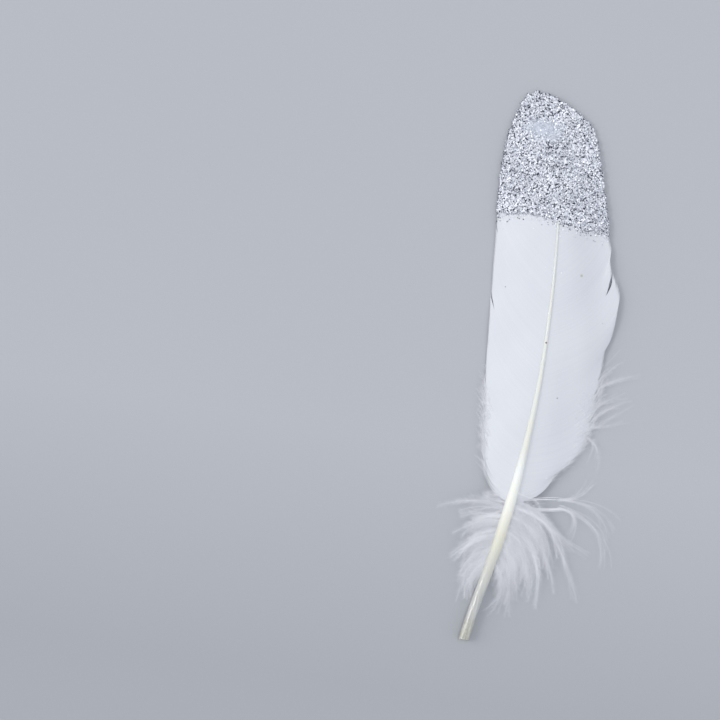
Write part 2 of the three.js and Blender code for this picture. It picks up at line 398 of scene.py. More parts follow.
def margin_line(points, samples=60):
    """A fine line through the margin's points, and how far along it each of its points lies, from 0 to 1."""
    given = np.array(points, float)
    padded = np.vstack([given[:1], given, given[-1:]])
    t = np.linspace(0, 1, samples, endpoint=False)[:, None]
    corners = zip(padded, padded[1:], padded[2:], padded[3:])
    runs = [between(b, c, (c - a) / 2, (d - b) / 2, t) for a, b, c, d in corners]
    line = np.vstack([*runs, given[-1:]])
    reach = np.append(0, np.cumsum(np.linalg.norm(np.diff(line, axis=0), axis=1)))
    return line, reach / reach[-1]


MARGIN_LINES = {side: margin_line(points) for side, points in MARGIN.items()}


def barb_end(side, roots):
    """Where barbs meet the margin, from their roots' distances along the shaft."""
    line, reach = MARGIN_LINES[side]
    share = np.clip((roots - VANE_FROM) / (SHAFT_END - VANE_FROM), 0, 1)
    share = share + BARB_SWEEP * np.sin(math.pi * share)
    return np.stack([np.interp(share, reach, line[:, k]) for k in (0, 1)], axis=-1)


def even_width(side):
    """Roots along the shaft, and how wide the vane is there with the ripples of its margin smoothed out."""
    roots = np.linspace(VANE_FROM, SHAFT_END, 400)
    width = np.abs(barb_end(side, roots)[:, 0] - shaft_centre(roots)[:, 0])
    bell = np.exp(-((np.arange(-RIPPLE_SPAN, RIPPLE_SPAN + 1) / (RIPPLE_SPAN / 2)) ** 2))
    smoothed = np.convolve(np.pad(width, RIPPLE_SPAN, mode="edge"), bell / bell.sum(), mode="valid")
    return roots, smoothed * WIDTH_ROOM


EVEN_WIDTH = {side: even_width(side) for side in MARGIN}


def vane_surface(side, roots, out):
    """Points of a vane's middle layer, from distances along the shaft and shares of the way along a barb."""
    roots, out = np.broadcast_arrays(np.asarray(roots, float), out)
    start, end = shaft_centre(roots), barb_end(side, roots)
    foot = 1 - smooth((roots - VANE_FROM) / FOOT_LENGTH)
    hook = HOOK[side] * np.exp(-(((roots - HOOK_ROOT) / HOOK_SPAN) ** 2))
    bend = np.stack([
        mix(start[..., 0], end[..., 0], mix(BEND_OUT, BEND_OUT_AT_FOOT, foot) + hook),
        mix(start[..., 1], end[..., 1], mix(BEND_UP, BEND_UP_AT_FOOT, foot)),
    ], axis=-1)
    plan = bent(start[..., :2], bend, end, out[..., None])
    margin = along(MARGIN_HEIGHT[side], end[..., 1])
    level = np.abs(plan[..., 0] - start[..., 0]) / np.interp(roots, *EVEN_WIDTH[side])
    height = mix(start[..., 2], margin, np.minimum(level, PAST_MARGIN) ** CAMBER)
    return np.concatenate([plan, height[..., None]], axis=-1)


for side in MARGIN:
    tip = vane_surface(side, 100.0, np.array([1.0]))[0]
    print(side, "vane at 100 mm reaches", np.round(tip, 1), "mm")

# %% [markdown]
# ## Many blades in one mesh
#
# A barb, a strand of down and a hair are the same thing at different sizes: a slim closed blade that follows
# a curve and tapers. Hundreds are worked out together as arrays and joined into one mesh, far lighter than
# hundreds of objects. A barb has a diamond section and a strand a wedge, so each is closed and shows a fine
# ridge. A number between 0 and 1, kept on each point, lets the finish vary between them.

# %% Blades and joined meshes
SIDE_ROOM = 0.015
DIAMOND = np.array([(1, 0), (0, 1), (-1, 0), (0, -1)], float)
WEDGE = np.array([(1, -0.5), (0, 1), (-1, -0.5)], float)


def unit(vectors):
    return vectors / np.maximum(np.linalg.norm(vectors, axis=-1, keepdims=True), 1e-9)


def keep_above(points, height):
    """Keeps points at least this high above the floor."""
    points[..., 2] = np.maximum(points[..., 2], height)
    return points


def blades(centres, half_width, half_height, up=None, section=DIAMOND):
    """Closed blades along rows of centre points: (points, sets of faces)."""
    count, steps = centres.shape[:2]
    sides = len(section)
    heading = unit(np.gradient(centres, axis=1))
    upward = np.broadcast_to((0.0, 0.0, 1.0), centres.shape) if up is None else up
    across = unit(np.cross(upward, heading))
    upward = np.cross(heading, across)
    width = (half_width * np.ones((count, steps)))[..., None, None]
    height = (half_height * np.ones((count, steps)))[..., None, None]
    points = centres[:, :, None] + width * section[:, :1] * across[:, :, None]
    points = points + height * section[:, 1:] * upward[:, :, None]
    first = (np.arange(count) * steps * sides)[:, None, None]
    ring = (np.arange(steps - 1) * sides)[None, :, None]
    corner = np.arange(sides)[None, None, :]
    a, b = first + ring + corner, first + ring + (corner + 1) % sides
    walls = np.stack([a, b, b + sides, a + sides], axis=-1).reshape(-1, 4)
    root = (first[:, 0] + corner[0])[:, ::-1]
    tip = first[:, 0] + corner[0] + (steps - 1) * sides
    return points.reshape(-1, 3), [walls, root, tip]


def joined(*parts):
    """One set of points and faces from several."""
    points, faces, offset = [], [], 0
    for part_points, part_faces in parts:
        points.append(part_points)
        faces += [f + offset for f in part_faces]
        offset += len(part_points)
    return np.vstack(points), faces


def mesh_object(name, points, face_sets, material, tone, crease=None):
    """An object at the origin from millimetre points, with the number that its finish varies by.

    Faces are flat, or smooth up to a crease angle in degrees. The finest tips are kept from drifting further
    sideways than the solid does, but for a little room.
    """
    mesh = bpy.data.meshes.new(name)
    placed = in_frame(points).astype(np.float32)
    left, right = CAD_BOX[0][0], CAD_BOX[1][0]
    room = SIDE_ROOM * (right - left)
    placed[:, 0] = np.clip(placed[:, 0], left - room, right + room)
    faces = [face for face_set in face_sets for face in face_set.tolist()]
    mesh.from_pydata(placed, [], faces)
    mesh.attributes.new("tone", "FLOAT", "POINT").data.foreach_set("value", tone.astype(np.float32))
    mesh.polygons.foreach_set("use_smooth", np.full(len(faces), crease is not None))
    if crease is not None:
        mesh.set_sharp_from_angle(angle=math.radians(crease))
    mesh.materials.append(material)
    made = bpy.data.objects.new(name, mesh)
    bpy.context.collection.objects.link(made)
    print(f"{name}: {sum(len(face) - 2 for face in faces)} triangles")
    return made


def finish_piece(piece, node):
    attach(piece, "root")
    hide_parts(node)
    return piece


# %% [markdown]
# ## The finishes of the feather
#
# Barbs are white keratin with a hint of cool grey that varies in soft clouds and from barb to barb. The quill
# is cream and glossy: opaque where the vanes start, clearer and greyer below, and dull and mottled at its
# very end. The colours come from how far along the feather a point is, read from the object's own
# coordinates, so they stay put. Two specks of dirt, one on the wide vane and one on the shaft, are only
# colour, so they are painted here too.

# %% Barb and down finishes
BARB_WHITE = (0.71, 0.723, 0.745)
BARB_SHADE = (0.62, 0.64, 0.69)
DOWN_WHITE = (0.93, 0.935, 0.955)
DOWN_SHADE = (0.66, 0.67, 0.71)
SPECK_OLIVE, SPECK_BROWN = (0.50, 0.50, 0.40), (0.16, 0.07, 0.06)
VANE_SPECK = dict(place=(16.2, 113.9), radii=(0.52, 0.52))
SHAFT_SPECK = dict(place=(8.9, 92.3), radii=(0.33, 0.33))


def barb_finish():
    finish = Finish("white_barbs", Roughness=0.55, Specular_IOR_Level=0.35, Sheen_Weight=0.15)
    clouds = finish.noise(finish.place((1, 0.5, 1)), 60.0, 3.0)
    streak = finish.attribute("tone")
    shade = (clouds * 0.9 + streak * 0.22 - 0.2).clamped()
    white = finish.blend(shade, BARB_WHITE, BARB_SHADE)
    finish.drive(Base_Color=finish.blend(finish.spot(**VANE_SPECK), white, SPECK_OLIVE))
    return finish.material


def down_finish():
    finish = Finish("white_down", Roughness=0.7, Specular_IOR_Level=0.25, Sheen_Weight=0.3)
    shade = (finish.attribute("tone") * 0.8 + finish.noise(finish.place(), 150.0) * 0.3 - 0.1).clamped()
    finish.drive(Base_Color=finish.blend(shade, DOWN_WHITE, DOWN_SHADE))
    return finish.material


barbs_white = barb_finish()
down_white = down_finish()

# %% Quill finish
QUILL_STOPS = [
    (0.0, (0.44, 0.435, 0.365)),
    (0.085, (0.47, 0.475, 0.42)),
    (0.115, (0.45, 0.455, 0.435)),
    (0.26, (0.525, 0.53, 0.51)),
    (0.40, (0.635, 0.635, 0.58)),
    (0.52, (0.715, 0.715, 0.61)),
    (0.70, (0.84, 0.845, 0.775)),
    (0.88, (0.87, 0.88, 0.84)),
    (1.0, (0.76, 0.77, 0.71)),
]
QUILL_STOPS_SPAN = 60.0
MOTTLE = (0.28, 0.27, 0.215)
MOTTLED = 7.5
PITH = (0.86, 0.86, 0.80)


def quill_finish():
    finish = Finish("cream_quill", Coat_Roughness=0.04, Coat_IOR=1.75, Specular_IOR_Level=0.25,
                    Subsurface_Weight=0.75, Subsurface_Scale=0.0014, Subsurface_Radius=(1.0, 0.9, 0.7))
    wander = finish.noise(finish.place((1, 0.35, 1)), 520.0, 3.0) * 0.06 - 0.03
    from_end = finish.along_feather() - float(in_frame((0, 0, 0))[1])
    share = (from_end / (QUILL_STOPS_SPAN * MM) + wander).clamped()
    cream = finish.ramp(share, QUILL_STOPS)
    near_end = (1 - share * (QUILL_STOPS_SPAN / MOTTLED)).clamped()
    spots = (finish.noise(finish.place((1, 0.6, 1)), 1300.0, 4.0, 0.7) * 4.6 - 2.0).clamped()
    streaks = (finish.noise(finish.place((1, 0.03, 1)), 2100.0, 2.0) * 2.6 - 1.0).clamped()
    hollow = (1 - (share - 0.22) * 6.0).clamped()
    bare_end = (1.9 - share * 6.5).clamped()
    polish = bare_end * 0.55 + (0.95 - share).clamped() * 0.42 + 0.03
    colour = finish.blend(streaks * hollow * 0.35, cream, PITH)
    colour = finish.blend(spots * near_end.power(0.5) * 0.8, colour, MOTTLE)
    colour = finish.blend(finish.spot(**SHAFT_SPECK), colour, SPECK_BROWN)
    fibres = finish.noise(finish.place((1, 0.05, 1)), 5200.0, 2.0)
    finish.drive(
        Base_Color=colour,
        Roughness=near_end * 0.2 + fibres * 0.12 + 0.46,
        Coat_Weight=polish,
        Normal=finish.bump(fibres + spots * near_end * 2.5, 0.3, 0.00006),
    )
    return finish.material


cream_quill = quill_finish()

# %% [markdown]
# ## The shaft
#
# The shaft is one tube that never stops changing: a round quill, then a rachis that thins to a hair. By hand
# one would start from a circle at the cut end and extrude it along the centre line, ring by ring, scaling
# each ring to size. That is what the loop does. The groove under the rachis is then pressed in, the cut end
# is inset and pushed in to leave a shallow pit, and one level of subdivision rounds the result.

# %% Extrude the shaft
SHAFT_SIDES = 20
SHAFT_RINGS = np.concatenate([
    [0, 0.5, 1.5, 3.5], np.arange(6, 60, 3), np.arange(60, 160, 5), [160, 162.5, SHAFT_END],
])
GROOVE_FROM, GROOVE_FULL = 46.0, 62.0
GROOVE_DEPTH = 0.55
NEAR_RING = 0.1
QUILL_WALL = 0.35
PIT_DEPTH, PIT_SIZE = 0.7, 0.6
QUILL_RADIUS = SHAFT_RADIUS[0][1]
TORN_RIM = (-0.15, 0.5)


def select_where(shaft, test):
    """In edit mode: selects the vertices whose place, in millimetres from the quill's end, passes a test."""
    bpy.ops.mesh.select_all(action="DESELECT")
    bpy.ops.object.mode_set(mode="OBJECT")
    chosen = [bool(test(point)) for point in mesh_points(shaft.data) - QUILL_END]
    shaft.data.vertices.foreach_set("select", chosen)
    bpy.ops.object.mode_set(mode="EDIT")


def extrude_shaft():
    bpy.ops.object.select_all(action="DESELECT")
    centres = in_frame(shaft_centre(SHAFT_RINGS))
    radii = along(SHAFT_RADIUS, SHAFT_RINGS) * MM
    bpy.ops.mesh.primitive_circle_add(
        vertices=SHAFT_SIDES, radius=radii[0], fill_type="NGON", location=centres[0],
        rotation=(math.pi / 2, 0, 0),
    )
    shaft = bpy.context.object
    shaft.name = shaft.data.name = "shaft"
    bpy.ops.object.transform_apply(location=True, rotation=True, scale=True)
    bpy.ops.object.mode_set(mode="EDIT")
    bpy.ops.mesh.select_all(action="SELECT")
    for k in range(1, len(SHAFT_RINGS)):
        bpy.ops.mesh.extrude_region_move(TRANSFORM_OT_translate={"value": centres[k] - centres[k - 1]})
        size = radii[k] / radii[k - 1]
        bpy.ops.transform.resize(value=(size, size, size), center_override=centres[k])
    bpy.ops.mesh.select_all(action="SELECT")
    bpy.ops.mesh.normals_make_consistent(inside=False)
    return shaft


def press_groove(shaft):
    """Moves the lowest vertex of each ring of the rachis up into the shaft."""
    for y in SHAFT_RINGS[SHAFT_RINGS > GROOVE_FROM]:
        radius = along(SHAFT_RADIUS, y)
        lowest = shaft_centre(y)[2] - radius
        select_where(shaft, lambda p: abs(p[1] - y) < NEAR_RING and p[2] < lowest + 0.02 * radius + 0.002)
        depth = GROOVE_DEPTH * radius * smooth((y - GROOVE_FROM) / (GROOVE_FULL - GROOVE_FROM))
        bpy.ops.transform.translate(value=(0, 0, float(depth) * MM))


def finish_end(shaft):
    """A slanted cut, with a shallow pit in it and a slightly torn rim."""
    select_where(shaft, lambda p: p[1] < NEAR_RING)
    bpy.ops.mesh.inset(thickness=QUILL_WALL * MM, depth=0)
    bpy.ops.mesh.extrude_region_move(TRANSFORM_OT_translate={"value": (0, PIT_DEPTH * MM, 0)})
    pit = in_frame(shaft_centre(0) + (0, PIT_DEPTH, 0))
    bpy.ops.transform.resize(value=(PIT_SIZE,) * 3, center_override=pit)
    bpy.ops.object.mode_set(mode="OBJECT")
    torn = np.random.default_rng(7)
    for vertex in shaft.data.vertices:
        x, y, z = np.array(vertex.co) / MM - QUILL_END
        if y < NEAR_RING:
            slant = CUT_SLANT * (z - QUILL_RADIUS) / QUILL_RADIUS
            vertex.co.y += (slant + torn.uniform(*TORN_RIM)) * MM


def round_off(shaft):
    modifier = shaft.modifiers.new("round", "SUBSURF")
    modifier.levels = modifier.render_levels = 1
    bpy.ops.object.modifier_apply(modifier=modifier.name)
    bpy.ops.object.shade_smooth_by_angle(angle=math.radians(50))


shaft = extrude_shaft()
press_groove(shaft)
finish_end(shaft)
round_off(shaft)
shaft.data.materials.append(cream_quill)
finish_piece(shaft, "feather")
print("shaft:", len(shaft.data.polygons), "faces")

# %% [markdown]
# ## The vanes
#
# A vane is some three hundred barbs, each a flat blade that leaves the shaft sideways and sweeps round
# towards the tip. They overlap a little, which is what makes a vane look like one sheet with a faint grain.
# Here and there the sheet has split: the barbs on both sides of a split lean away from it, and beside the
# wide vane's long slit they hook inwards too. A split is given by where it meets the margin, its depth as a
# share of a barb, its gap, and how far it is shut again at the margin.

# %% Grow the barbs
BARB_PITCH = 0.42
BARB_STEPS = 22
BARB_OVERLAP = 1.45
BARB_RIDGE = 0.04
BARB_TILT = 0.05
SPLITS = {
    "right": [(66.8, 0.16, 0.2, 0), (116.6, 0.34, 0.95, 0.8)],
    "left": [(71.0, 0.10, 0.3, 0), (104.5, 0.22, 0.4, 0), (125.0, 0.08, 0.3, 0)],
}
SPLIT_WIDTH = 2.2
SPLIT_OPENS, SHUT_FROM = 0.7, 0.86
PLUME_LENGTH = 2.5
FRAY = {"right": (54, 92), "left": (49, 86)}
FRAY_IN, FRAY_OUT = 4, 12
LOOSE_REACH = (-0.05, 0.17)
FIRM_SHARE, LOOSE_SHARE = 0.93, 0.19
STRAY_SIDE, STRAY_LIFT = 0.34, 0.35
WAVES = [(0.14, 0.42, 0.13, 0.0), (0.10, -0.25, 0.31, 1.7)]
CALM_FROM, CALM_SPAN = 150, 25
TAPER_FROM, TIP_WIDTH = 0.9, 0.2


def root_at_margin(side, y):
    """The root of the barb whose tip is at this distance along the feather."""
    roots = np.linspace(VANE_FROM, SHAFT_END, 400)
    return np.interp(y, barb_end(side, roots)[:, 1], roots)


def part_splits(side, roots, out, centres, across):
    """Moves barbs sideways, away from the vane's splits."""
    for margin_y, depth, gap, shut in SPLITS[side]:
        away = (roots - root_at_margin(side, margin_y))[:, None]
        opened = smooth((out - (1 - depth)) / (depth * SPLIT_OPENS))
        opened *= 1 - shut * smooth((out - SHUT_FROM) / (1 - SHUT_FROM))
        shift = np.where(away > 0, 1, -1) * gap / 2 * opened * np.exp(-((away / SPLIT_WIDTH) ** 2))
        centres += shift[..., None] * across


def waves(points):
    """Slow, slight waves of the vane's surface, each with a height, a pitch along x and y, and a start."""
    x, y = points[..., 0], points[..., 1]
    return sum(height * np.sin(x * over_x + y * over_y + start) for height, over_x, over_y, start in WAVES)


def looseness(side, y):
    low, high = FRAY[side]
    return smooth((y - low) / FRAY_IN) * smooth((high - y) / FRAY_OUT)


def across_barbs(centres):
    """Each barb's heading, the way square to it towards the next barb, and the distance to that one."""
    heading = unit(np.gradient(centres, axis=1))
    spread = np.gradient(centres, axis=0)
    spread -= (spread * heading).sum(-1, keepdims=True) * heading
    return heading, unit(spread), np.linalg.norm(spread, axis=-1)


def barb_lines(side, rng):
    """The barbs' centre lines, their distances to each other, and how loose each one is."""
    roots = np.arange(VANE_FROM, SHAFT_END, BARB_PITCH)
    count = len(roots)
    loose = looseness(side, barb_end(side, roots)[:, 1])
    reach = 1.003 + rng.normal(0, 0.007, count) + loose * rng.uniform(*LOOSE_REACH, count)
    out = np.linspace(0, 1, BARB_STEPS)[None] * reach[:, None]
    centres = vane_surface(side, roots[:, None], out)
    _, across, pitch = across_barbs(centres)
    part_splits(side, roots, out, centres, across)
    wavy = np.clip(out * 3, 0, 1) * smooth((CALM_FROM - centres[..., 1]) / CALM_SPAN)
    centres[..., 2] += waves(centres) * wavy
    keep_above(centres, 0.1)
    firm = FIRM_SHARE - LOOSE_SHARE * loose[:, None]
    astray = loose[:, None] * np.clip((out - firm) / (1 - firm), 0, 1) ** 1.5
    if side == "left":
        astray = np.maximum(astray, np.exp(-(roots[:, None] - VANE_FROM) / PLUME_LENGTH) * out**0.5)
    centres += (rng.normal(0, STRAY_SIDE, count)[:, None] * astray)[..., None] * across
    centres[..., 2] += rng.uniform(0, STRAY_LIFT, count)[:, None] * astray
    return centres, np.clip(pitch, 0.03, 0.6), loose, astray


def grow_vane(side):
    rng = np.random.default_rng(11 if side == "right" else 12)
    centres, pitch, loose, astray = barb_lines(side, rng)
    heading, across, _ = across_barbs(centres)
    across = unit(across + (0, 0, BARB_TILT))
    up = np.cross(heading, across) * SIDE_SIGN[side]
    t = np.linspace(0, 1, BARB_STEPS)
    taper = mix(1, TIP_WIDTH, np.maximum(0, (t - TAPER_FROM) / (1 - TAPER_FROM)))
    width = pitch * BARB_OVERLAP / 2 * taper * (1 - 0.5 * np.clip(astray, 0, 1))
    points, faces = blades(centres, width, BARB_RIDGE * mix(1.2, 0.6, t), up)
    tone = np.repeat(rng.uniform(0, 1, len(centres)), BARB_STEPS * len(DIAMOND))
    piece = mesh_object(f"{side}_vane", keep_above(points, 0.02), faces, barbs_white, tone, crease=30)
    finish_piece(piece, "feather")
    frayed = loose > 0.15
    return centres[frayed][:, BARB_STEPS // 2:], loose[frayed]


frayed_ends = {side: grow_vane(side) for side in MARGIN}

# %% [markdown]
# ## The down
#
# Below the closed vanes the barbs carry no hooks, so they hang apart as soft down. A strand of down is a thin
# curved thread with still finer hairs on both sides. The strands gather into locks, each with its own root,
# bend and tip. Every hair is a spike with four faces, the least that a closed shape can have.

# %% Locks of down
DOWN = {
    "right": dict(
        roots=(43, 25), angles=(-36, -76), reach=(27, 16), leave=(7, -34),
        strands=(6, 8, 10, 11, 11, 11, 10, 9, 9, 9, 8, 8, 7, 7),
    ),
    "left": dict(
        roots=(43, 23), angles=(-2, -72), reach=(19, 15), leave=(14, -24),
        strands=(6, 7, 8, 8, 8, 9, 9, 8, 8, 8, 7),
    ),
}
SHORT_STRANDS = 46
SWAYS = [(0.9, (1.2, 2.8), 0.12), (0.3, (3, 6), 0.1)]
STRAND_STEPS = 18
HAIR_PITCH = 0.16
HAIR_LENGTH = 3.0
HAIR_WIDTH = 0.04
HAIR_RISE = 0.12
HAIR_SPREAD = (0.35, 1.3)


def scatter(n):
    """A number between -1 and 1 that looks random but depends only on n."""
    wave = math.sin(n * 127.1 + 11.7) * 43758.5453
    return 2 * (wave - math.floor(wave)) - 1


def curve_points(root, bend, tip, steps):
    return bent(root, bend, tip, np.linspace(0, 1, steps)[:, None])


def down_lock_lines(side):
    """The root, bend and tip of each lock."""
    d = DOWN[side]
    lines = []
    for k, share in enumerate(np.linspace(0, 1, len(d["strands"]))):
        root = shaft_centre(mix(*d["roots"], share))
        length = mix(*d["reach"], share) * (1 + 0.1 * scatter(k + 3))

        def step(degrees, distance, height):
            angle = math.radians(degrees)
            x = root[0] + SIDE_SIGN[side] * distance * math.cos(angle)
            return np.array([x, root[1] + distance * math.sin(angle), height])

        crest = root[2] * (0.8 + 0.3 * scatter(k + 9)) + 0.6
        bend = step(mix(*d["leave"], share), 0.5 * length, crest)
        tip = step(mix(*d["angles"], share) + 3 * scatter(k), length, 0.3)
        lines.append((root, bend, tip))
    return lines


def hairs_a_side(strands, pitch):
    """How many hairs stand on each side of each strand."""
    run = np.linalg.norm(np.diff(strands, axis=1), axis=-1).sum(1)
    return np.maximum((run / pitch).astype(int), 2)


def hairs(strands, rng, pitch, length, width):
    """Fine hairs on both sides of each strand, as flat spikes with four faces."""
    heading = unit(np.gradient(strands, axis=1))
    across = unit(np.cross((0.0, 0.0, 1.0), heading))
    feet, tips, widths = [], [], []
    for k, number in enumerate(hairs_a_side(strands, pitch)):
        for hand in (1, -1):
            t = (np.arange(number) + rng.uniform(0, 1, number)) / number
            at = t * (strands.shape[1] - 1)
            low = np.minimum(at.astype(int), strands.shape[1] - 2)
            foot = mix(strands[k, low], strands[k, low + 1], (at - low)[:, None])
            grown = (0.3 + 0.7 * smooth(t / 0.35)) * (1 - 0.5 * t**3)
            size = length * grown * rng.uniform(0.45, 1.15, number)
            splay = rng.uniform(*HAIR_SPREAD, number) * (1 + 0.5 * t - 0.35 * t**4)
            way = heading[k, low] + hand * across[k, low] * splay[:, None]
            way[:, 2] += rng.normal(0, 0.12, number)
            feet.append(foot)
            widths.append(width * mix(1.1, 0.6, t))
            tips.append(foot + unit(way) * size[:, None])
    feet, tips = np.vstack(feet), keep_above(np.vstack(tips), 0.04)
    widths = np.concatenate(widths)[:, None]
    sideways = unit(np.cross(tips - feet, (0.0, 0.0, 1.0))) * widths / 2
    rise = np.array((0.0, 0.0, HAIR_RISE)) * widths
    points = np.stack([feet - sideways, feet + sideways, feet + rise, tips], axis=1)
    first = np.arange(len(feet))[:, None, None] * 4
    faces = (first + np.array([(0, 1, 2), (1, 0, 3), (2, 1, 3), (0, 2, 3)])).reshape(-1, 3)
    return points.reshape(-1, 3), [faces]


def lock_strands(side, rng):
    """Strands that share a lock's curve, spread at the root, close in the middle and loose at the tip."""
    rows = []
    locks = down_lock_lines(side)
    full = [lock for lock, count in zip(locks, DOWN[side]["strands"]) for _ in range(count)]
    for number in range(len(full) + SHORT_STRANDS):
        short = number >= len(full)
        root, bend, tip = full[rng.integers(len(full))] if short else full[number]
        foot = shaft_centre(root[1] + (rng.uniform(1.0, 4.0) if short else rng.uniform(-1.1, 1.1)))
        share = rng.uniform(0.22, 0.5) if short else 0.45 + 0.55 * rng.uniform() ** 1.7
        loose = 0.08 * np.linalg.norm(tip - root) * np.array((1, 1, 0.15))
        end = mix(foot, tip, share) + rng.normal(0, 1, 3) * loose
        middle = mix(foot, bend, min(1, share * 1.3)) + rng.normal(0, 1, 3) * (0.9, 0.9, 0.35)
        line = curve_points(foot, middle, end, STRAND_STEPS)
        t = np.linspace(0, 1, STRAND_STEPS)[:, None]
        for sway, turns, lift in SWAYS:
            line += rng.normal(0, sway) * np.sin(t * math.pi * rng.uniform(*turns)) * t * (0.5, 0.4, lift)
        rows.append(line)
    return keep_above(np.array(rows), 0.12)


def strand_blades(rows, root_width, tip_width, flatness=0.3):
    t = np.linspace(0, 1, rows.shape[1])
    width = mix(root_width, tip_width, t**0.7) / 2
    return blades(rows, width, width * flatness, section=WEDGE)


def grow_down(side):
    rng = np.random.default_rng(21 if side == "right" else 22)
    rows = lock_strands(side, rng)
    parts = joined(
        strand_blades(rows, 0.16, 0.025),
        hairs(rows, rng, HAIR_PITCH, HAIR_LENGTH, HAIR_WIDTH),
    )
    strand_tone = rng.uniform(0, 1, len(rows))
    hair_points = 2 * 4 * hairs_a_side(rows, HAIR_PITCH)
    tone = np.concatenate([
        np.repeat(strand_tone, STRAND_STEPS * len(WEDGE)),
        np.repeat(strand_tone, hair_points),
    ])
    return finish_piece(mesh_object(f"{side}_down", *parts, down_white, tone), "feather")


for side in MARGIN:
    grow_down(side)

# %% [markdown]
# ## Loose strands
#
# Two stout barbs stand apart below the wide vane and fray at their ends. Higher up, the margins of the vanes
# have come unzipped, and their barb ends drift off as fine wisps. The strands follow a few curves, each with
# a root, a bend and a tip, and the threads of a strand stray from its curve by chance.

# %% Strands and margin wisps
STRANDS = [
    ((21.5, 46.7), (27, 46.5), (30.4, 53), 0.9),
    ((21.5, 46.5), (34, 48), (38, 38.6), 1.7),
    ((21.8, 44.2), (38, 41.5), (38, 28.8), 1.5),
    ((21.5, 43.9), (30.4, 44.3), (25.6, 33.6), 0.55),
    ((12, 43.6), (20.6, 36), (32.8, 31.2), 0.6),
    ((14, 43), (20, 39.5), (27.7, 31.8), 0.5),
    ((19, 38.5), (27, 28), (31.3, 17), 0.8),
    ((5.2, 25.5), (11.5, 16), (4.9, 10.3), 0.7),
    ((25, 66.5), (31, 65.4), (29.6, 59), 1.1),
    ((25.8, 69), (29.5, 70), (35.8, 74.4), 1.3),
    ((27, 71.5), (30, 76), (35.3, 78.8), 0.8),
    ((26, 74.5), (28.5, 77.5), (35.4, 81), 0.9),
    ((26, 80.3), (30, 84.6), (38.8, 87.2), 0.7),
    ((25.6, 82), (28.4, 86.5), (31.6, 91), 1.5),
]
STRANDS_EACH = 6
RIBBONS = [((7.4, 43.6), (15, 46.2), (23.2, 46.9), 0.5), ((7, 42.6), (15, 41.8), (23, 44), 0.75)]
RIBBON_BLADE = 0.3


def loose_strands(rng):
    rows = []
    for root, bend, tip, width in STRANDS:
        for _ in range(STRANDS_EACH):
            jitter = rng.normal(0, width * 0.55, (3, 3)) * [[0.4, 0.4, 0.1], [1, 1, 0.3], [2.2, 2.2, 0.3]]
            ends = np.array([(*root, 0.7), (*bend, 1.1), (*tip, 0.3)]) + jitter
            rows.append(curve_points(*ends, STRAND_STEPS))
    return np.array(rows)


def ribbons(rng):
    """Barbs that cling together side by side as a narrow flat ribbon."""
    rows = []
    for root, bend, tip, width in RIBBONS:
        for offset in np.arange(-width / 2, width / 2, 0.18):
            shift = np.array((0.0, offset, rng.normal(0, 0.03)))
            heights = (shaft_centre(root[1])[2], 1.2, 0.7)
            ends = [np.array((*point, z)) + shift for point, z in zip((root, bend, tip), heights)]
            ends[2] += rng.normal(0, 0.25, 3) * (4, 0.5, 0.4)
            rows.append(curve_points(*ends, STRAND_STEPS))
    return np.array(rows)


def margin_fluff(side, rng):
    """Fine threads that leave a frayed margin with its barbs and drift outwards."""
    barbs, loose = frayed_ends[side]
    rows = []
    for barb, share in zip(barbs, loose):
        for _ in range(7 if share > 0.5 else 4):
            at = rng.integers(0, len(barb) - 1)
            foot, way = barb[at], unit(barb[at + 1] - barb[at])
            length = rng.uniform(1.5, 5.5) * share
            drift = np.array([SIDE_SIGN[side] * rng.uniform(0.2, 0.9), rng.uniform(0.0, 0.6), 0.0])
            middle = foot + way * length * 0.55 + (0, 0, rng.uniform(0.05, 0.4))
            tip = foot + (way * 0.7 + drift * 0.6) * length
            tip[2] = max(0.2, foot[2] * rng.uniform(0.4, 1.1))
            rows.append(curve_points(foot, middle, tip, STRAND_STEPS // 2))
    return np.array(rows)


def grow_loose_strands():
    rng = np.random.default_rng(31)
    rows, flat = keep_above(loose_strands(rng), 0.1), keep_above(ribbons(rng), 0.1)
    fluff = keep_above(np.concatenate([margin_fluff(side, rng) for side in MARGIN]), 0.1)
    parts = joined(
        strand_blades(rows, 0.08, 0.015),
        strand_blades(flat, RIBBON_BLADE, 0.14, 0.15),
        strand_blades(fluff, 0.1, 0.015),
        hairs(rows, rng, 0.26, 2.1, 0.022),
        hairs(flat[:, STRAND_STEPS // 2:], rng, 0.3, 1.0, HAIR_WIDTH),
        hairs(fluff, rng, 0.34, 1.1, 0.03),
    )
    tone = rng.uniform(0, 1, len(parts[0]))
    return finish_piece(mesh_object("loose_strands", *parts, down_white, tone), "feather")


grow_loose_strands()

# %% [markdown]
# ## The glue under the glitter
#
# The dip left a lumpy skin of glue round the tip of both vanes. A grid is laid over the tip, its points are
# put on the vane between the glitter's lower edge and the margin, and Solidify gives it its two faces and
# its rim.

# %% Glue skin
GLITTER_EDGE = [
    (-18, 129.6), (-9, 128.6), (-3, 129.9), (4, 129.2), (8, 128.5), (12, 128.4), (14.5, 127.3),
    (19, 128.2), (26, 127.5),
]
GLUE_COLUMNS, GLUE_ROWS = 96, 72
GLUE_THICKNESS = 0.75
GLUE_RIM = 0.012
RIM_LUMPS = 0.018


def edge_height(x):
    """Where the dip ends, with the small ripples that the liquid left."""
    xs, ys = np.array(GLITTER_EDGE, float).T
    return np.interp(x, xs, ys) + 0.3 * np.sin(x * 1.9 + 0.4) + 0.22 * np.sin(x * 4.3 + 1.1)


def first_root(side, out):
    """The root of the barb that crosses the glitter's lower edge at this share of its length."""
    roots = np.linspace(90, SHAFT_END, 400)
    points = vane_surface(side, roots, np.full(len(roots), out))
    above = points[:, 1] - edge_height(points[:, 0])
    return float(np.interp(0.0, above, roots))


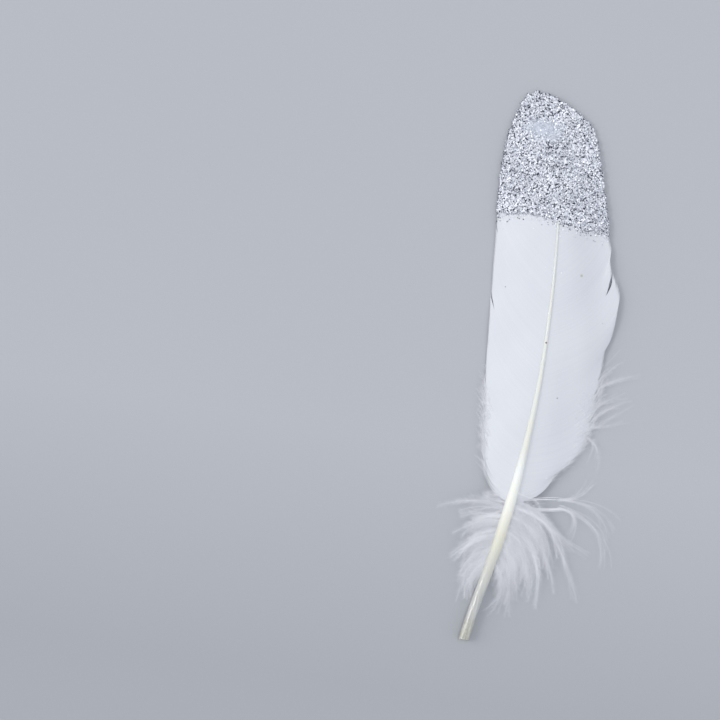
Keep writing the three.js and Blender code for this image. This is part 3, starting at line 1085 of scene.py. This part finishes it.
def lumps(points):
    x, y = points[..., 0], points[..., 1]
    return (np.sin(x * 2.3 + 1.3 * np.sin(y * 1.1)) * np.sin(y * 2.0 + 1.5 * np.sin(x * 0.9))) * 0.06


def glue_points():
    columns = np.linspace(-1, 1, GLUE_COLUMNS + 1)
    rows = np.linspace(0, 1, GLUE_ROWS + 1)
    grid = np.empty((GLUE_ROWS + 1, GLUE_COLUMNS + 1, 3))
    for j, column in enumerate(columns):
        side, out = ("right", column) if column >= 0 else ("left", -column)
        roots = mix(first_root(side, out), SHAFT_END, rows)
        lumpy = np.sin(roots * 1.5 + column * 2) + np.sin(roots * 3.7 + 1.3)
        reach = out * (1 + GLUE_RIM + RIM_LUMPS * lumpy)
        grid[:, j] = vane_surface(side, roots, reach)
    grid[..., 2] += lumps(grid)
    return grid


def lay_glue():
    bpy.ops.object.select_all(action="DESELECT")
    bpy.ops.mesh.primitive_grid_add(x_subdivisions=GLUE_COLUMNS, y_subdivisions=GLUE_ROWS, size=1)
    glue = bpy.context.object
    glue.name = glue.data.name = "glue_skin"
    grid = glue_points()
    glue.data.vertices.foreach_set("co", in_frame(grid.reshape(-1, 3)).ravel())
    bpy.ops.object.mode_set(mode="EDIT")
    bpy.ops.mesh.select_all(action="SELECT")
    bpy.ops.mesh.normals_make_consistent(inside=False)
    bpy.ops.object.mode_set(mode="OBJECT")
    modifier = glue.modifiers.new("both faces", "SOLIDIFY")
    modifier.thickness, modifier.offset, modifier.use_even_offset = GLUE_THICKNESS * MM, 0, False
    bpy.ops.object.modifier_apply(modifier=modifier.name)
    bpy.ops.object.shade_smooth_by_angle(angle=math.radians(60))
    return glue


glue = lay_glue()
print("glue_skin:", len(glue.data.polygons), "faces")

# %% [markdown]
# ## Glitter
#
# Glitter is thousands of tiny six-sided flakes of silvered film. Each lies at its own angle, so each mirrors
# a different part of the room: some flash white and some go dark. That can't be painted convincingly, so the
# flakes are real: one hexagonal plate, copied over the glue by area and tilted at random. Some flakes, and
# many cells of the glue beneath, are also coloured grey or near black. That is a painted dark reflection on
# top of the real one.

# %% Flake and glue finishes
SILVER = (0.83, 0.85, 0.90)
# Flakes coloured grey or near black are painted dim and dark reflections.
SILVER_PAINTED_DIM_REFLECTION = (0.42, 0.44, 0.52)
SILVER_PAINTED_DARK_REFLECTION = (0.035, 0.04, 0.06)
GLUE_PALE = (0.78, 0.80, 0.86)
# Glue cells that go near black are a painted dark reflection.
GLUE_PAINTED_DARK_REFLECTION = (0.11, 0.125, 0.165)
GLUE_CALM = (0.45, 0.485, 0.55)
CALM = dict(place=(-2.2, 155.7), radii=(5.4, 2.9))
CELL_TILT = 0.9


def flake_finish():
    finish = Finish("silver_flakes", Metallic=0.5)
    tone = finish.attribute("tone")
    # The grey and near-black steps put painted dim and dark reflections into some flakes' colour.
    painted_reflection_stops = [(0.0, SILVER), (0.58, SILVER), (0.75, SILVER_PAINTED_DIM_REFLECTION), (0.86, SILVER_PAINTED_DARK_REFLECTION)]
    finish.drive(Base_Color=finish.ramp(tone, painted_reflection_stops), Roughness=tone * 0.15 + 0.42)
    return finish.material


def glue_finish():
    """Glue with sunk flakes, one per cell, each with its own tilt. Their dark tones are a painted reflection.
    """
    finish = Finish("glittered_glue", Metallic=0.5)
    cells = finish.node("ShaderNodeTexVoronoi", {}, {"Vector": finish.place(), "Scale": 3300.0}, "Color")
    speck = finish.node("ShaderNodeSeparateColor", {}, {0: cells}, 0)
    calm = finish.spot(**CALM, solid=1.6, fade=1)
    off = finish.vector("SUBTRACT", {0: cells, 1: (0.5, 0.5, 0.5)})
    off = finish.vector("SCALE", {0: off, "Scale": (1 - calm * 0.7) * CELL_TILT})
    normal = finish.node("ShaderNodeNewGeometry", {}, {}, "Normal")
    tilted = finish.vector("NORMALIZE", {0: finish.vector("ADD", {0: normal, 1: off})})
    # Painted reflection: cells run from pale silver to near black, as flakes that mirror a dark part of the
    # room.
    rough = finish.blend((1.25 - speck * 2.2).clamped(), GLUE_PALE, GLUE_PAINTED_DARK_REFLECTION)
    finish.drive(
        Base_Color=finish.blend(calm * 0.85, rough, GLUE_CALM),
        Roughness=speck * 0.2 + 0.36,
        Normal=tilted,
    )
    return finish.material


glue.data.materials.append(glue_finish())
finish_piece(glue, "glitter_coat")

# %% Scatter the flakes
FLAKES = {"upper": 7800, "under": 6200}
FLAKE_RADIUS = (0.14, 0.31)
FLAKE_THICKNESS = 0.025
FLAKE_TILT = 0.31
LEVELLING = 3.0
RIM_GRAIN = 0.4
HEXAGON = np.array([(math.cos(a), math.sin(a)) for a in np.radians(np.arange(0, 360, 60))])


def calmness(places):
    """How much a flake belongs to the smooth bright patch near the tip, from 0 to 1."""
    away = np.linalg.norm((places[:, :2] - CALM["place"]) / CALM["radii"], axis=1)
    return smooth(1.5 - away)


def lay_flakes(name, places, normals, rng, tilt, radii=FLAKE_RADIUS):
    """One piece of hexagonal plates at these places, each turned and tilted by chance."""
    count = len(places)
    calm = calmness(places)
    tilt = (tilt * (1 - 0.15 * calm))[:, None]
    normal = unit(normals + rng.normal(0, 1, (count, 3)) * tilt)
    helper = unit(np.cross(normal, rng.normal(0, 1, (count, 3))))
    other = np.cross(normal, helper)
    radius = rng.uniform(*radii, count)[:, None, None]
    ring = radius * (HEXAGON[:, :1] * helper[:, None] + HEXAGON[:, 1:] * other[:, None])
    half = normal[:, None] * FLAKE_THICKNESS / 2
    points = np.concatenate([places[:, None] + ring + half, places[:, None] + ring - half], axis=1)
    first = np.arange(count)[:, None] * 12
    top = first + np.arange(6)
    bottom = first + np.arange(11, 5, -1)
    a = first[:, None] + np.arange(6)[:, None]
    b = first[:, None] + ((np.arange(6) + 1) % 6)[:, None]
    walls = np.concatenate([a + 6, b + 6, b, a], axis=2).reshape(-1, 4)
    # The tone picks each flake's colour, and with it the painted dark reflections. Flakes in the calm patch
    # stay lighter.
    tone = np.repeat(rng.uniform(0, 1, count) * (1 - 0.35 * calm), 12)
    points = keep_above(points.reshape(-1, 3), 0.01)
    piece = mesh_object(name, points, [top, bottom, walls], silver_flakes, tone)
    return finish_piece(piece, "glitter_coat")


def sample_surface(mesh, count, keep, rng):
    """Places and normals spread evenly by area over the faces of a mesh whose normals pass a test."""
    mesh.calc_loop_triangles()
    corners = np.empty(len(mesh.loop_triangles) * 3, np.int32)
    mesh.loop_triangles.foreach_get("vertices", corners)
    triangles = mesh_points(mesh)[corners.reshape(-1, 3)] - QUILL_END
    normal = np.cross(triangles[:, 1] - triangles[:, 0], triangles[:, 2] - triangles[:, 0])
    area = np.linalg.norm(normal, axis=1)
    normal = unit(normal)
    area = area * keep(normal)
    chosen = rng.choice(len(area), count, p=area / area.sum())
    u, v = rng.uniform(0, 1, (2, count, 1))
    flip = u + v > 1
    u, v = np.where(flip, 1 - u, u), np.where(flip, 1 - v, v)
    a, b, c = (triangles[chosen, k] for k in range(3))
    return a + u * (b - a) + v * (c - a), normal[chosen]


def coat_with_flakes(face, keep, seed):
    rng = np.random.default_rng(seed)
    places, normals = sample_surface(glue.data, FLAKES[face], keep, rng)
    sunk = rng.uniform(0, 1, len(places)) < 0.9 * calmness(places)
    places, normals = places[~sunk], normals[~sunk]
    facing = np.abs(normals[:, 2]) > 0.5
    proud = rng.uniform(0.02, np.where(facing, 0.16, RIM_GRAIN))
    places = places + normals * proud[:, None]
    level = np.sign(normals[:, 2])[:, None] * (0.0, 0.0, LEVELLING) * facing[:, None]
    patch = 0.5 + 0.5 * np.sin(places[:, 0] * 0.33 + 0.7) * np.sin(places[:, 1] * 0.29 + 2.1)
    tilt = FLAKE_TILT * mix(0.6, 1.3, patch)
    return lay_flakes(f"flakes_{face}", places, unit(normals + level), rng, tilt)


silver_flakes = flake_finish()
coat_with_flakes("upper", lambda n: n[:, 2] > -0.2, 41)
coat_with_flakes("under", lambda n: n[:, 2] <= -0.2, 42)

# %% [markdown]
# ## Stray flakes
#
# The dip left no clean line: flakes thin out over a millimetre or two below the glitter's edge, and a few
# lie far down the vane and on the shaft.

# %% Stray flakes
EDGE_FLAKES = 620
EDGE_FADE = 0.75
STRAY_FLAKES = 12
STRAY_TILT, STRAY_RADIUS = 0.3, (0.1, 0.2)


def stray_flakes():
    rng = np.random.default_rng(51)
    places = []
    while len(places) < EDGE_FLAKES + STRAY_FLAKES:
        side = "right" if rng.uniform() < 0.55 else "left"
        near = len(places) < EDGE_FLAKES
        root = rng.uniform(95, 135) if near else rng.uniform(48, 130)
        point = vane_surface(side, root, np.array([rng.uniform(0, 1)]))[0]
        below = edge_height(point[0]) - point[1]
        if below < -0.3 or (near and rng.uniform() > math.exp(-max(below, 0) / EDGE_FADE)):
            continue
        point[2] += waves(point) * 0.8 + 0.16
        places.append(point)
    places = np.array(places)
    normals = np.broadcast_to((0.0, 0.0, 1.0), places.shape)
    return lay_flakes("stray_flakes", places, normals, rng, STRAY_TILT, STRAY_RADIUS)


stray_flakes()

# %% [markdown]
# ## Sizes
#
# The last cell prints the boxes of the solid and of the dressed feather, to compare them by.

# %% Sizes and finish
LOOK_BOX = [list(corner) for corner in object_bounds()]
for label, box in (("CAD", CAD_BOX), ("dressed", LOOK_BOX)):
    print(label, "box in mm:", [[round(v / MM, 2) for v in corner] for corner in box])
